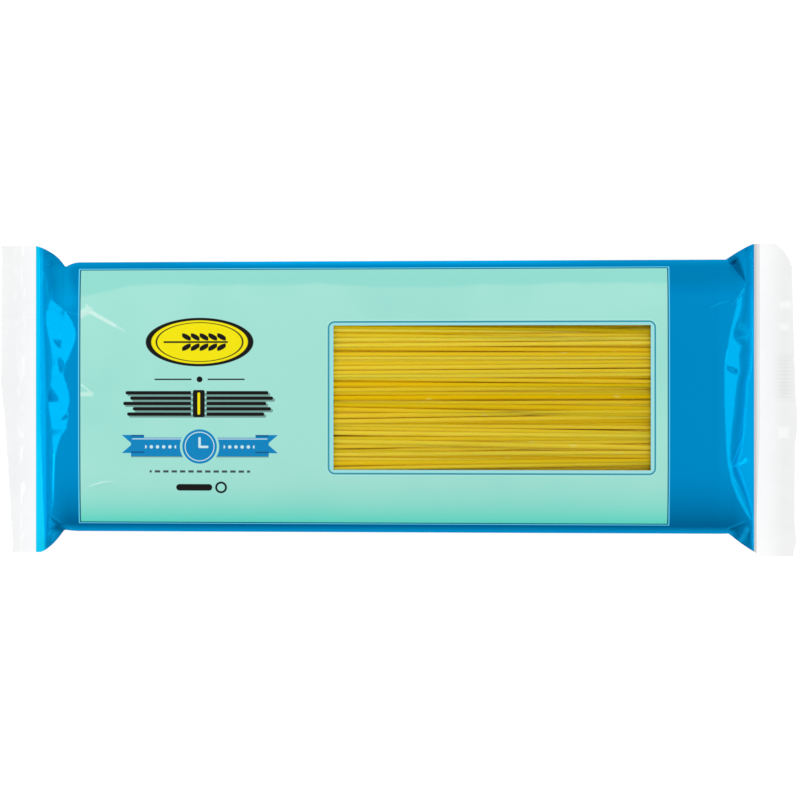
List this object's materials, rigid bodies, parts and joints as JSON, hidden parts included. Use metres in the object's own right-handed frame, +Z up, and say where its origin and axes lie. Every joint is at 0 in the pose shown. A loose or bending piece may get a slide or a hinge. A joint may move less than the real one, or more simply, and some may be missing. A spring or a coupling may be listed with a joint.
{
  "type": "pasta packet",
  "caption": "Long flow-wrapped packet of spaghetti lying on its back, in blue film with a mint front panel, a clear window and flat clear end fins",
  "frame": {"origin": "under the middle of the packet, on the surface it lies on", "axes": "+X along the packet, from its plain end to the end beside the window; +Y across it, towards the top of the printed front; +Z up, out of the printed front"},
  "size_m": [0.3108, 0.1218, 0.031],
  "materials": {
    "printed_film": "printed glossy plastic film, blue with a mint front panel, unprinted and clear at the window and the end fins",
    "durum_pasta": "dry durum wheat spaghetti, smooth and slightly translucent",
    "clear_film": "thin clear plastic film, unprinted, on the window and the end fins"
  },
  "bodies": {
    "root": {"film_wrapper": "printed_film", "spaghetti_bundle": "durum_pasta"}
  },
  "joints": []
}
